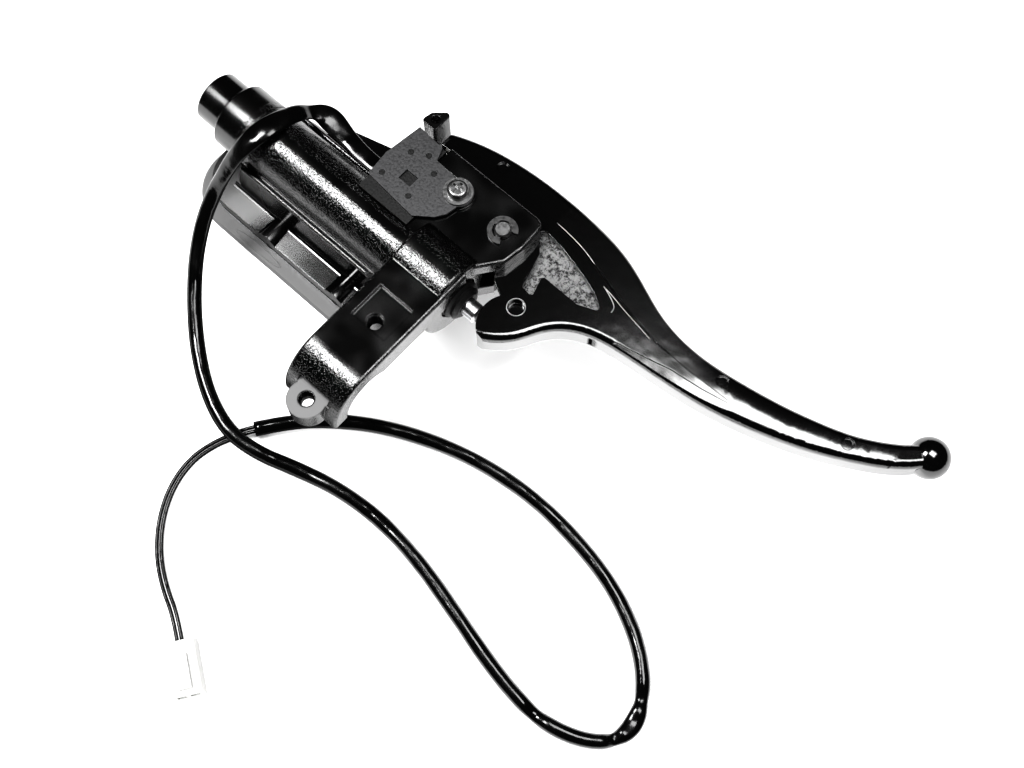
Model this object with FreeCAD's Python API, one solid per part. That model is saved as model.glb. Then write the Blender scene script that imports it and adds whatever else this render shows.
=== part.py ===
"""Handlebar brake master cylinder with lever, lying on its reservoir lid.

Millimetres. The origin is the centre of the handlebar in the clamp. +X runs along the handlebar
towards the lever's ball end, +Y towards the front, and +Z away from the reservoir lid.
"""

import FreeCAD, Part
import math
import os

# Handlebar clamp
bar_d = 22.2
clamp_wall = 5.9
clamp_width = 24.4
clamp_bolt_spacing = 34.0
clamp_bolt_d = 6.0
clamp_bolt_boss_r = 7.0
clamp_split = 1.0
clamp_spot_face_z = 9.0
clamp_spot_face_margin = 4.5
clamp_web_bottom_z = 7.8
clamp_web_end_y = 50.0
clamp_leg_y = 8.0
clamp_panel_depth = 1.5
clamp_panel_width = 15.0
clamp_panel_start = 3.2
clamp_panel_end_y = 28.0
clamp_edge_r = 1.2

# Cylinder barrel, parallel to the bar
barrel_y = 46.0
barrel_z = 3.0
barrel_r = 12.8
barrel_left_x = -87.0
mouth_x = 11.0
bore_d = 12.7
bore_end_x = -62.0
stop_shoulder_x = 4.0
mouth_bore_r = 8.5
collar_r = 16.2
collar_flat_y = 11.2
outlet_big_r = 13.0
outlet_big_length = 11.5
outlet_small_r = 10.0
outlet_small_length = 12.0
outlet_port_d = 10.0
outlet_port_depth = 16.0
outlet_passage_r = 2.0

# Reservoir and its lid
lid_outer_z = -36.0
lid_thickness = 3.0
lid_left_x = -111.5
lid_length = 107.0
lid_width = 56.5
lid_corner_r = 9.0
lid_end_r = 20.0
lid_chamfer = 0.7
gasket_thickness = 1.2
diaphragm_plate_thickness = 0.6
reservoir_margin = 4.0
reservoir_side_margin = 6.0
reservoir_wall = 3.2
reservoir_end_r = 16.0
deck_z = 3.0
deck_half_width = 14.6
deck_left_x = -85.0
deck_right_inset = 8.0
wall_top_z = -1.0
wall_half_width = 13.0
wall_foot_left_x = -97.0
wall_foot_right_x = -12.5
ledge_z = -26.7
ledge_fall = 1.0
deck_rib_r = 1.0
deck_bead_r = 0.6
deck_bead_inset = 2.6
deck_bead_length = 26.0
cavity_top_z = -10.6
lid_post_r = 4.7
lid_post_first_x = -68.5
lid_post_spacing = 35.0
lid_post_half_width = 17.8
lid_post_sink = 1.9
lid_screw_d = 4.0
lid_screw_head_r = 3.7
lid_screw_bite = 4.4
lid_screw_sink = 0.2
cross_recess_reach = 2.6
cross_recess_width = 0.9
cross_recess_depth = 1.3
screw_clearance = 0.2
diaphragm_dish_half_width = 8.6
diaphragm_dish_depth = 7.0
diaphragm_wall = 1.0
feed_port_r = 1.5
relief_port_r = 0.5
feed_port_x = -20.0
relief_port_x = -39.6

# Lever fork and pivot
pivot_x = 9.2
pivot_y = 71.3
lever_thickness = 12.0
fork_clearance = 0.1
ear_thickness = 5.9
ear_front = 12.2
ear_right = 9.8
pivot_pin_d = 6.0
pin_clearance = 0.05
bush_wall = 1.5
pin_head_r = 5.5
pin_head_h = 2.2
pin_end_length = 2.0
clip_thickness = 0.9
clip_outer_r = 5.5
clip_groove_r = 2.2
clip_finger_r = 2.25

# Lever
hub_r = 10.0
lever_edge_r = 2.6
ball_r = 7.35
ball_x = 158.9
ball_y = 37.5
nose_r = 12.0
nose_x = 24.2
nose_y = -22.8
recess_depth = 2.6
recess_corner_r = 1.0
ridge_height = 0.55
drilling_r = 3.1
drilling_depth = 3.0
dimple_r = 2.1
dimple_depth = 0.5
lever_front_edge = [
    (-41.7, 19.7), (-31, 23.6), (-14, 26.8), (3, 27.7), (22, 26.8), (36, 24.5), (48, 20.3), (59, 16.0),
    (71, 13.5), (83, 13.4), (96, 15.2), (110, 17.9), (123, 21.2), (136, 25.8), (148, 32.8), (155, 38.6),
]
lever_rear_edge = [
    (159.6, 32.0), (152.6, 25.2), (143, 18.9), (131, 12.5), (118, 7.1), (104, 2.6), (90, -0.7), (74, -2.9),
    (58, -4.6), (46.8, -6.9), (38.6, -11.2), (33, -17.4), (29, -24.4), (24.6, -29.4), (20.2, -32.6),
]
lever_neck = (8.3, -14.0)
lever_tail_root = (-12.0, 11.2)
lever_tail_start_x = -19.0
lever_recess = [
    (7.6, 10.8), (10.2, 12.2), (17.5, 11.3), (24.6, 9.6), (31.7, 7.7), (37.4, 5.7), (43.6, 1.8), (35.8, -1.5),
    (19.8, -1.4), (22.4, -9.8), (17.2, -9.2), (15.6, -3.0), (13.2, 4.6),
]
ridge_front = [
    (10, 17.4), (17.5, 16.9), (25.3, 15.7), (35.1, 12.7), (45.8, 9.6), (55, 7.6), (65.5, 6.0), (80, 5.6), (100, 6.2),
]
ridge_rear = [(47, -12), (55, -3.0), (64, -1.0), (75.1, 1.8), (87.4, 3.4), (100, 6.0)]
lever_drilling = (20.9, -16.3)
lever_dimples = [(-18.7, 20.8), (91.0, 10.1), (135.8, 20.8)]

# Piston and what rides on it
piston_clearance = 0.05
piston_rod_r = 3.5
rod_gap = 0.3
piston_waist_r = 3.6
piston_nose_r = 3.0
front_land_x = -33.0
land_width = 3.0
primary_cup_length = 5.0
cup_clearance = 0.08
rear_guide_length = 8.4
secondary_groove_width = 6.0
secondary_groove_r = 4.2
washer_thickness = 1.0
circlip_thickness = 1.1
spring_wire_r = 0.6
spring_coil_r = 4.7
spring_turns = 6
boot_length = 8.9

# Brake light switch, let into the fork beside the barrel
switch_left_x = -40.0
switch_right_x = -17.0
switch_near_y = 50.5
switch_deep_y = 61.6
switch_step_x = -26.0
switch_step_y = 75.5
switch_far_y = 80.5
switch_seat_z = 11.0
switch_top_z = 16.1
switch_fit = 0.3
plate_thickness = 0.9
plate_lug_r = 5.6
plate_peg_r = 1.0
plate_outline = [
    (-39.4, 81.4), (-27.6, 80.4), (-25.8, 75.6), (-16.9, 75.0), (-11.7, 71.3), (-8.3, 66.6), (-9.1, 62.3),
    (-11.4, 58.7), (-17.6, 53.9), (-40.3, 55.8), (-41.4, 66.0),
]
plate_window = [(-31.2, 61.6), (-25.8, 66.0)]
plate_pegs = [(-34.9, 71.9), (-29.1, 75.0), (-37.0, 59.3), (-22.9, 70.9), (-23.7, 58.6)]
screw_x = -11.7
screw_y = 71.3
screw_d = 4.0
screw_head_r = 3.9
screw_head_h = 2.6
screw_washer_r = 5.35
plunger_r = 2.0
plunger_x = -29.6
plunger_z = 4.5
plunger_depth = 10.0
gland_y = 63.2
gland_z = 7.2
gland_r = 3.4
gland_length = 3.0

# Switch cord: a soft sleeve over two thin wires that end in a two-way connector
sleeve_r = 2.7
wire_r = 0.7
wire_gap = 0.3
sleeve_route = [
    (-43.0, 63.2, 7.2),
    (-50.0, 63.2, 7.2),
    (-57.6, 64.0, 7.6),
    (-64.8, 65.0, 8.4),
    (-71.0, 65.3, 10.0),
    (-75.0, 62.4, 13.0),
    (-76.9, 56.6, 16.6),
    (-78.0, 49.4, 19.4),
    (-79.2, 42.0, 19.9),
    (-81.2, 34.2, 17.2),
    (-83.6, 26.0, 9.0),
    (-85.5, 19.0, -2.0),
    (-84.6, 9.7, -12.0),
    (-78.7, -1.8, -20.0),
    (-67.8, -14.5, -26.0),
    (-55.0, -25.5, -29.0),
    (-40.4, -34.3, -30.3),
    (-25.7, -38.7, -30.8),
    (-12.4, -36.9, -32.3),
    (0.6, -32.0, -33.3),
    (17.0, -27.1, -33.3),
    (37.0, -24.9, -33.3),
    (58.4, -27.0, -33.3),
    (79.2, -31.7, -33.3),
    (99.4, -36.6, -33.3),
    (116.0, -39.2, -33.3),
    (127.6, -39.2, -33.3),
    (138.9, -35.8, -33.3),
    (147.6, -30.2, -33.3),
    (151.2, -21.9, -33.3),
    (148.6, -12.3, -33.3),
    (141.2, -2.9, -33.3),
    (128.2, 6.3, -33.3),
    (111.7, 12.8, -33.3),
    (91.6, 16.5, -33.3),
    (70.7, 17.5, -33.3),
    (49.1, 14.6, -33.3),
    (29.9, 8.6, -33.3),
    (12.7, 0.3, -33.3),
    (-2.5, -10.3, -33.3),
    (-13.6, -21.5, -33.3),
    (-20.4, -31.1, -33.3),
]
wire_route = [
    (-20.4, -31.1, -33.3),
    (-22.2, -33.64, -33.3),
    (-24.8, -37.5, -35.3),
    (-28.2, -45.2, -35.3),
    (-30.0, -54.8, -35.3),
    (-28.0, -66.2, -35.3),
    (-21.9, -77.5, -35.3),
    (-12.8, -87.0, -35.0),
    (-2.4, -93.4, -33.8),
    (8.0, -97.6, -32.5),
    (16.0, -103.0, -32.5),
]

# Connector
connector_angle = -34.0
connector_length = 19.0
connector_width = 11.4
connector_height = 7.0
connector_cavity = 3.2
connector_cavity_depth = 12.0
connector_pitch = 4.6

# Worked out from the sizes above
bar_r = bar_d / 2
bore_r = bore_d / 2
ring_r = bar_r + clamp_wall
half_clamp = clamp_width / 2
bolt_y = clamp_bolt_spacing / 2
bolt_r = clamp_bolt_d / 2
half_split = clamp_split / 2
lever_mid_z = barrel_z
slot_bottom_z = lever_mid_z - lever_thickness / 2 - fork_clearance
slot_top_z = lever_mid_z + lever_thickness / 2 + fork_clearance
ear_top_z = slot_top_z + ear_thickness
ear_bottom_z = slot_bottom_z - ear_thickness
pin_r = pivot_pin_d / 2
bush_inner_r = pin_r + pin_clearance
bush_outer_r = bush_inner_r + bush_wall
rim_z = lid_outer_z + lid_thickness + diaphragm_plate_thickness + gasket_thickness
lid_right_x = lid_left_x + lid_length
lid_post_x = [lid_post_first_x, lid_post_first_x + lid_post_spacing]
lid_mid_x = lid_post_first_x + lid_post_spacing / 2
lid_post_y = [barrel_y - lid_post_half_width, barrel_y + lid_post_half_width]
rim_half_width = lid_width / 2 - reservoir_side_margin
rim_left_x = lid_left_x + reservoir_margin
rim_right_x = lid_right_x - reservoir_margin
deck_right_x = rim_right_x - deck_right_inset
outlet_step_x = barrel_left_x - outlet_big_length
outlet_tip_x = outlet_step_x - outlet_small_length
piston_r = bore_r - piston_clearance
piston_shoulder_x = stop_shoulder_x + 0.4
piston_end_x = pivot_x + nose_x - nose_r - rod_gap
washer_end_x = piston_shoulder_x + washer_thickness
circlip_end_x = washer_end_x + circlip_thickness
tail_inner_y = ear_front + 1.0

AXIS_X = FreeCAD.Vector(1, 0, 0)
AXIS_Z = FreeCAD.Vector(0, 0, 1)


def point(x, y, z):
    return FreeCAD.Vector(x, y, z)


def rod_x(radius, start_x, end_x, y=barrel_y, z=barrel_z):
    """A round bar along X."""
    return Part.makeCylinder(radius, end_x - start_x, point(start_x, y, z), AXIS_X)


def rod_z(radius, x, y, bottom, top):
    """A round bar along Z."""
    return Part.makeCylinder(radius, top - bottom, point(x, y, bottom), AXIS_Z)


def block(low, high):
    """A box from its lowest and highest corners."""
    size = [high[i] - low[i] for i in range(3)]
    return Part.makeBox(size[0], size[1], size[2], point(*low))


def turned_x(profile):
    """Turn (x, radius) points about the barrel's axis."""
    corners = [point(x, barrel_y + radius, barrel_z) for x, radius in profile]
    face = Part.Face(Part.makePolygon(corners + corners[:1]))
    return face.revolve(point(0, barrel_y, barrel_z), AXIS_X, 360)


def prism(outline, bottom, top):
    """A flat piece with straight edges, upright along Z."""
    corners = [point(x, y, bottom) for x, y in outline]
    face = Part.Face(Part.makePolygon(corners + corners[:1]))
    return face.extrude(point(0, 0, top - bottom))


def round_uprights(shape, radius, places):
    """Round the upright edges that stand nearest to the given (x, y) places."""
    upright = [e for e in shape.Edges if abs(e.tangentAt(e.FirstParameter).z) > 0.99]
    chosen = []
    for x, y in places:
        chosen.append(min(upright, key=lambda e: math.hypot(e.CenterOfMass.x - x, e.CenterOfMass.y - y)))
    return shape.makeFillet(radius, chosen)


def rounded_rectangle(left, right, half_width, z, radius, end_radius):
    """A flat wire centred on the barrel's axis, with its own corner radius at the left end."""
    near = barrel_y - half_width
    far = barrel_y + half_width
    centres = [
        (right - radius, near + radius, radius, -90),
        (right - radius, far - radius, radius, 0),
        (left + end_radius, far - end_radius, end_radius, 90),
        (left + end_radius, near + end_radius, end_radius, 180),
    ]
    edges = []
    for index in range(len(centres)):
        x, y, size, start = centres[index]
        arc = Part.Arc(Part.Circle(point(x, y, z), AXIS_Z, size), math.radians(start), math.radians(start + 90))
        x, y, size, start = centres[(index + 1) % len(centres)]
        turn = math.radians(start)
        begin = point(x + size * math.cos(turn), y + size * math.sin(turn), z)
        edges.append(arc.toShape())
        edges.append(Part.LineSegment(arc.EndPoint, begin).toShape())
    return Part.Wire(edges)


def stacked(sections):
    """A solid through flat rounded rectangles, each (left, right, half width, z, radius, end radius)."""
    return Part.makeLoft([rounded_rectangle(*section) for section in sections], True, True)


def tube(route, radius):
    """A round cord on straight runs joined by the largest tangent arcs."""
    points = [point(*p) for p in route]
    edges = []
    radii = []
    last = points[0]
    for before, corner, after in zip(points, points[1:], points[2:]):
        run_in = corner - before
        run_out = after - corner
        turn = run_in.getAngle(run_out)
        bend = 0.45 * min(run_in.Length, run_out.Length) / math.tan(turn / 2)
        reach = bend * math.tan(turn / 2)
        start = corner - FreeCAD.Vector(run_in).normalize() * reach
        end = corner + FreeCAD.Vector(run_out).normalize() * reach
        inward = (FreeCAD.Vector(run_out).normalize() - FreeCAD.Vector(run_in).normalize()).normalize()
        middle = corner + inward * (bend / math.cos(turn / 2) - bend)
        edges.append(Part.LineSegment(last, start).toShape())
        edges.append(Part.Arc(start, middle, end).toShape())
        radii.append(bend)
        last = end
    edges.append(Part.LineSegment(last, points[-1]).toShape())
    path = Part.Wire(edges)
    ring = Part.Wire(Part.Circle(points[0], points[1] - points[0], radius).toShape())
    solid = path.makePipeShell([ring], True, False)
    share = solid.Volume / (math.pi * radius ** 2 * path.Length)
    print("cord length", round(path.Length, 1), "volume share", round(share, 4))
    print("bend radii", [round(r, 1) for r in radii])
    return solid


def beside(route, offset):
    """The route moved sideways by offset, level with the floor."""
    moved = []
    for index, (x, y, z) in enumerate(route):
        before = route[max(index - 1, 0)]
        after = route[min(index + 1, len(route) - 1)]
        along_x = after[0] - before[0]
        along_y = after[1] - before[1]
        length = math.hypot(along_x, along_y)
        moved.append((x - along_y / length * offset, y + along_x / length * offset, z))
    return moved


def clamp_arch():
    """The casting's half of the clamp: a strip over the bar, a flat web and a collar on the barrel."""
    shape = rod_x(ring_r, -half_clamp, half_clamp, 0, 0)
    shape = shape.fuse(block((-half_clamp, 0, clamp_web_bottom_z), (half_clamp, clamp_web_end_y, ring_r)))
    below = block((-half_clamp - 1, -ring_r - 1, -ring_r - 1), (half_clamp + 1, ring_r + 1, half_split))
    shape = shape.cut(below).removeSplitter()
    rims = [e for e in shape.Edges if abs(abs(e.CenterOfMass.x) - half_clamp) < 0.01 and e.BoundBox.ZMax > ring_r - 1]
    shape = shape.makeFillet(clamp_edge_r, rims)
    collar = rod_x(collar_r, -half_clamp, mouth_x)
    rims = [e for e in collar.Edges if e.BoundBox.XLength < 0.01]
    collar = collar.makeFillet(clamp_edge_r, rims)
    slot_low = (-half_clamp - 1, barrel_y + collar_flat_y, slot_bottom_z)
    collar = collar.cut(block(slot_low, (mouth_x + 1, barrel_y + collar_r + 1, slot_top_z)))
    legs = []
    for side in (-1, 1):
        inner = side * clamp_bolt_boss_r
        outer = side * (half_clamp + 1)
        low = (min(inner, outer), clamp_leg_y, half_split - 1)
        legs.append(block(low, (max(inner, outer), ring_r + 1, clamp_web_bottom_z)))
    shape = shape.cut(legs).fuse(collar)
    shape = shape.fuse(rod_z(clamp_bolt_boss_r, 0, bolt_y, half_split, clamp_web_bottom_z + 1))
    return shape.fuse(rod_z(clamp_bolt_boss_r, 0, -bolt_y, half_split, clamp_spot_face_z))


def clamp_arch_cuts():
    """Bar bore, bolt holes, the spot face at the rear bolt and the sunk panel at the front one."""
    flat_y = -bolt_y + clamp_spot_face_margin
    high_z = ring_r + 5
    cuts = [rod_x(bar_r, -half_clamp - 5, half_clamp + 5, 0, 0)]
    cuts.append(block((-clamp_bolt_boss_r, -bolt_y - 10, clamp_spot_face_z), (clamp_bolt_boss_r, flat_y, high_z)))
    panel = block(
        (-clamp_panel_width / 2, bolt_y - clamp_panel_start, ring_r - clamp_panel_depth),
        (clamp_panel_width / 2, clamp_panel_end_y, high_z),
    )
    cuts.append(panel)
    for y in (-bolt_y, bolt_y):
        cuts.append(rod_z(bolt_r + pin_clearance, 0, y, half_split - 1, high_z))
    return cuts


def outlet_boss():
    """Stepped round boss at the closed end of the barrel."""
    chamfer = 0.8
    return turned_x([
        (barrel_left_x + 2, 0),
        (barrel_left_x + 2, outlet_big_r),
        (outlet_step_x + chamfer, outlet_big_r),
        (outlet_step_x, outlet_big_r - chamfer),
        (outlet_step_x, outlet_small_r),
        (outlet_tip_x + chamfer, outlet_small_r),
        (outlet_tip_x, outlet_small_r - chamfer),
        (outlet_tip_x, 0),
    ])


def reservoir_outside():
    """Upright walls under the barrel's deck, on a wide ledge with a half-round swelling over each lid screw."""
    end_r = reservoir_end_r
    shape = stacked([
        (deck_left_x, deck_right_x, deck_half_width, deck_z, 4.0, 4.0),
        (deck_left_x, deck_right_x, deck_half_width, wall_top_z, 4.0, 4.0),
        (deck_left_x - 1, deck_right_x + 1, wall_half_width, wall_top_z - 1.5, 4.0, 4.0),
        (wall_foot_left_x, wall_foot_right_x, wall_half_width, ledge_z + ledge_fall, 4.0, 8.0),
        (rim_left_x, rim_right_x, rim_half_width, ledge_z, 6.0, end_r),
        (rim_left_x, rim_right_x, rim_half_width, rim_z, 6.0, end_r),
    ])
    for side in (-1, 1):
        rib_y = barrel_y + side * deck_half_width
        bead_y = rib_y - side * deck_bead_inset
        shape = shape.fuse(rod_x(deck_rib_r, deck_left_x + 3, deck_right_x - 3, rib_y, deck_z))
        bead_start = deck_left_x + 2 * deck_rib_r
        shape = shape.fuse(rod_x(deck_bead_r, bead_start, bead_start + deck_bead_length, bead_y, deck_z))
        for x in lid_post_x:
            start = point(x, barrel_y + side * (wall_half_width - 0.5), ledge_z - lid_post_sink)
            reach = rim_half_width - wall_half_width + 0.5
            shape = shape.fuse(Part.makeCylinder(lid_post_r, reach, start, point(0, side, 0)))
    under = block((rim_left_x, barrel_y - lid_width, rim_z - 2 * lid_post_r), (rim_right_x, barrel_y + lid_width, rim_z))
    return shape.cut(under)


def reservoir_inside():
    """The fluid space, open at the rim."""
    half = wall_half_width - reservoir_wall
    left = wall_foot_left_x + reservoir_wall
    right = wall_foot_right_x - reservoir_wall
    foot_z = ledge_z + ledge_fall
    return stacked([
        (deck_left_x + reservoir_wall, deck_right_x - reservoir_wall, half, cavity_top_z, 3.0, 3.0),
        (left, right, half, foot_z, 3.0, 6.0),
        (left, right, half, rim_z - 1, 3.0, 6.0),
    ])


def lower_ear():
    """Lower fork ear, with the gusset that runs back along the reservoir's front wall."""
    right = pivot_x + ear_right
    front = pivot_y + ear_front
    outline = [
        (-72, barrel_y),
        (mouth_x, barrel_y),
        (mouth_x, barrel_y + 8),
        (right - 1.3, pivot_y - 8.2),
        (right, pivot_y),
        (right - 0.6, front),
        (-34.7, front),
        (-34.7, front + 8.8),
        (-41.8, front + 5.0),
        (-41.8, front),
        (-50, front - 8),
        (-68, front - 13),
        (-72, front - 20),
    ]
    shape = prism(outline, ear_bottom_z, slot_bottom_z)
    return round_uprights(shape, 4.0, [(right - 0.6, front), (right, pivot_y)])


def upper_ear():
    """Upper fork ear, with the strip that passes in front of the switch."""
    right = pivot_x + ear_right
    front = pivot_y + ear_front
    step_y = switch_step_y + switch_fit
    near_x = switch_right_x + switch_fit
    outline = [
        (near_x, barrel_y),
        (mouth_x, barrel_y),
        (mouth_x, barrel_y + 8),
        (right - 1.3, pivot_y - 8.2),
        (right, pivot_y),
        (right - 0.6, front),
        (switch_step_x + switch_fit, front),
        (switch_step_x + switch_fit, step_y),
        (near_x, step_y),
    ]
    shape = prism(outline, slot_top_z, ear_top_z)
    shape = round_uprights(shape, 4.0, [(right - 0.6, front), (right, pivot_y)])
    outer = [e for e in shape.Edges if e.BoundBox.ZMin > ear_top_z - 0.01 and e.CenterOfMass.x > mouth_x]
    shape = shape.makeFillet(1.0, outer)
    boss = rod_z(5.4, screw_x, screw_y, slot_top_z, switch_top_z)
    pocket = block((switch_left_x, switch_near_y, slot_top_z - 1), (near_x, step_y, switch_top_z + 1))
    return shape.fuse(boss.cut(pocket))


def drilled_lug():
    """Small upright lug with a blind hole, at the left end of the fork."""
    front = pivot_y + ear_front
    outline = [
        (-41.5, front + 0.6),
        (-40.6, front + 5.2),
        (-36.2, front + 9.2),
        (-34.7, front + 8.4),
        (-34.7, front + 0.6),
    ]
    shape = prism(outline, ear_bottom_z, switch_top_z)
    shape = round_uprights(shape, 1.2, outline)
    return shape.cut(rod_z(1.6, -37.7, front + 4.2, switch_top_z - 6, switch_top_z + 1))


def body_casting():
    shape = rod_x(barrel_r, barrel_left_x, mouth_x)
    end = [e for e in shape.Edges if abs(e.CenterOfMass.x - barrel_left_x) < 0.01]
    shape = shape.makeFillet(2.0, end)
    pieces = [outlet_boss(), reservoir_outside(), lower_ear(), upper_ear(), drilled_lug(), clamp_arch()]
    shape = shape.fuse(pieces)

    cuts = clamp_arch_cuts()
    cuts.append(reservoir_inside())
    cuts.append(turned_x([
        (bore_end_x, 0),
        (bore_end_x, bore_r),
        (stop_shoulder_x, bore_r),
        (stop_shoulder_x, mouth_bore_r),
        (half_clamp + 1, mouth_bore_r),
        (half_clamp + 1, 0),
    ]))
    cuts.append(rod_x(mouth_bore_r + 0.7, washer_end_x, circlip_end_x))
    cuts.append(rod_x(outlet_passage_r, outlet_tip_x + 1, bore_end_x + 1))
    cuts.append(rod_x(outlet_port_d / 2, outlet_tip_x - 1, outlet_tip_x + outlet_port_depth))
    cuts.append(rod_z(feed_port_r, feed_port_x, barrel_y, cavity_top_z - 1, barrel_z))
    cuts.append(rod_z(relief_port_r, relief_port_x, barrel_y, cavity_top_z - 1, barrel_z))
    for x in lid_post_x:
        for y in lid_post_y:
            cuts.append(rod_z(lid_screw_d / 2 + pin_clearance, x, y, rim_z - 1, rim_z + lid_screw_bite + 1))
    seat_low = (switch_left_x - switch_fit, switch_near_y - switch_fit, switch_seat_z)
    seat_high = (switch_right_x + switch_fit, pivot_y, switch_top_z + 5)
    cuts.append(block(seat_low, seat_high))
    pocket_low = (switch_left_x - switch_fit, switch_deep_y - switch_fit, slot_bottom_z)
    cuts.append(block(pocket_low, (switch_right_x + switch_fit, switch_step_y, switch_seat_z + 1)))
    cuts.append(rod_z(pin_r + pin_clearance, pivot_x, pivot_y, ear_bottom_z - 1, ear_top_z + 1))
    cuts.append(rod_z(screw_d / 2 + pin_clearance, screw_x, screw_y, slot_top_z - 1, switch_top_z + 1))
    return shape.cut(cuts).removeSplitter()


def reservoir_lid():
    outline = rounded_rectangle(lid_left_x, lid_right_x, lid_width / 2, lid_outer_z, lid_corner_r, lid_end_r)
    shape = Part.Face(outline).extrude(point(0, 0, lid_thickness))
    rims = [e for e in shape.Edges if e.BoundBox.ZLength < 0.01]
    shape = shape.makeChamfer(lid_chamfer, rims)
    for x in lid_post_x:
        for y in lid_post_y:
            shape = shape.cut(lid_screw_hole(x, y))
    return shape


def lid_screw_hole(x, y):
    """Clearance hole with a countersink from the lid's outer face."""
    head = lid_screw_head_r + 0.1 + lid_screw_sink
    shaft = lid_screw_d / 2 + screw_clearance
    sink = Part.makeCone(head, shaft, head - shaft, point(x, y, lid_outer_z), AXIS_Z)
    return sink.fuse(rod_z(shaft, x, y, lid_outer_z - 1, lid_outer_z + lid_thickness + 1))


def lid_screws():
    """Four countersunk screws, heads just under the lid's outer face."""
    screws = []
    head_z = lid_outer_z + lid_screw_sink
    shaft = lid_screw_d / 2
    drop = lid_screw_head_r - shaft
    for x in lid_post_x:
        for y in lid_post_y:
            screw = Part.makeCone(lid_screw_head_r, shaft, drop, point(x, y, head_z), AXIS_Z)
            screw = screw.fuse(rod_z(shaft, x, y, head_z + drop, rim_z + lid_screw_bite))
            reach = cross_recess_reach
            half = cross_recess_width / 2
            deep = head_z + cross_recess_depth
            slot = block((x - reach, y - half, head_z - 1), (x + reach, y + half, deep))
            cross = block((x - half, y - reach, head_z - 1), (x + half, y + reach, deep))
            screws.append(screw.cut([slot, cross]))
    return Part.makeCompound(screws)


def screw_passages(bottom, top):
    holes = []
    for x in lid_post_x:
        for y in lid_post_y:
            holes.append(rod_z(lid_screw_d / 2 + screw_clearance, x, y, bottom - 1, top + 1))
    return holes


def diaphragm():
    """Rubber sheet clamped under the lid, dished into the fluid space."""
    flange_z = rim_z - gasket_thickness
    flange = rounded_rectangle(rim_left_x, rim_right_x, rim_half_width, flange_z, 6.0, reservoir_end_r)
    shape = Part.Face(flange).extrude(point(0, 0, gasket_thickness))
    half = diaphragm_dish_half_width
    inset = reservoir_wall + 1.2
    left = wall_foot_left_x + inset
    right = wall_foot_right_x - inset
    top = rim_z + diaphragm_dish_depth
    dish = stacked([
        (left, right, half, flange_z, 3.0, 5.0),
        (left + 3, right - 3, half - 3, top, 3.0, 5.0),
    ])
    wall = diaphragm_wall
    hollow = stacked([
        (left + wall, right - wall, half - wall, flange_z - 0.5, 2.0, 4.0),
        (left + 3 + wall, right - 3 - wall, half - 3 - wall, top - wall, 2.0, 4.0),
    ])
    shape = shape.fuse(dish).cut(hollow)
    for x in lid_post_x:
        for y in lid_post_y:
            shape = shape.fuse(rod_z(lid_post_r, x, y, flange_z, rim_z))
    return shape.cut(screw_passages(flange_z, rim_z)).removeSplitter()


def diaphragm_plate():
    """Thin metal plate between lid and diaphragm, with a vent slot."""
    bottom = lid_outer_z + lid_thickness
    top = bottom + diaphragm_plate_thickness
    outline = rounded_rectangle(rim_left_x, rim_right_x, rim_half_width, bottom, 6.0, reservoir_end_r)
    shape = Part.Face(outline).extrude(point(0, 0, diaphragm_plate_thickness))
    for x in lid_post_x:
        for y in lid_post_y:
            shape = shape.fuse(rod_z(lid_post_r, x, y, bottom, top))
    slot = block((lid_mid_x - 12, barrel_y - 1.5, bottom - 1), (lid_mid_x + 12, barrel_y + 1.5, top + 1))
    return shape.cut(screw_passages(bottom, top) + [slot]).removeSplitter()


def lever_outline():
    """Flat outline of the lever about its pivot, as one closed wire at its lower face."""
    base = lever_mid_z - lever_thickness / 2

    def at(x, y):
        return point(pivot_x + x, pivot_y + y, base)

    def curve(places):
        spline = Part.BSplineCurve()
        spline.interpolate([at(x, y) for x, y in places])
        return spline.toShape()

    def arc(x, y, radius, first, middle, last):
        ends = []
        for angle in (first, middle, last):
            turn = math.radians(angle)
            ends.append(at(x + radius * math.cos(turn), y + radius * math.sin(turn)))
        return Part.Arc(*ends).toShape()

    front_edge = curve(lever_front_edge)
    rear_edge = curve(lever_rear_edge)
    nose = arc(nose_x, nose_y, nose_r, 233, 190, 150)
    hub_end = math.radians(-60.5)
    hub = arc(0, 0, hub_r, -60.5, -160, -220)
    hub_start = at(hub_r * math.cos(hub_end), hub_r * math.sin(hub_end))
    tail = curve([
        (hub_r * math.cos(math.radians(140)), hub_r * math.sin(math.radians(140))),
        lever_tail_root,
        (lever_tail_start_x, tail_inner_y),
    ])
    neck = at(*lever_neck)
    low_nose = nose.Vertexes[0].Point
    high_nose = nose.Vertexes[-1].Point
    edges = [
        front_edge,
        Part.LineSegment(at(*lever_front_edge[-1]), at(*lever_rear_edge[0])).toShape(),
        rear_edge,
        Part.LineSegment(at(*lever_rear_edge[-1]), low_nose).toShape(),
        nose,
        Part.LineSegment(high_nose, neck).toShape(),
        Part.LineSegment(neck, hub_start).toShape(),
        hub,
        tail,
        Part.LineSegment(at(lever_tail_start_x, tail_inner_y), at(lever_front_edge[0][0], tail_inner_y)).toShape(),
        Part.LineSegment(at(lever_front_edge[0][0], tail_inner_y), at(*lever_front_edge[0])).toShape(),
    ]
    return Part.Wire(edges)


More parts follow.
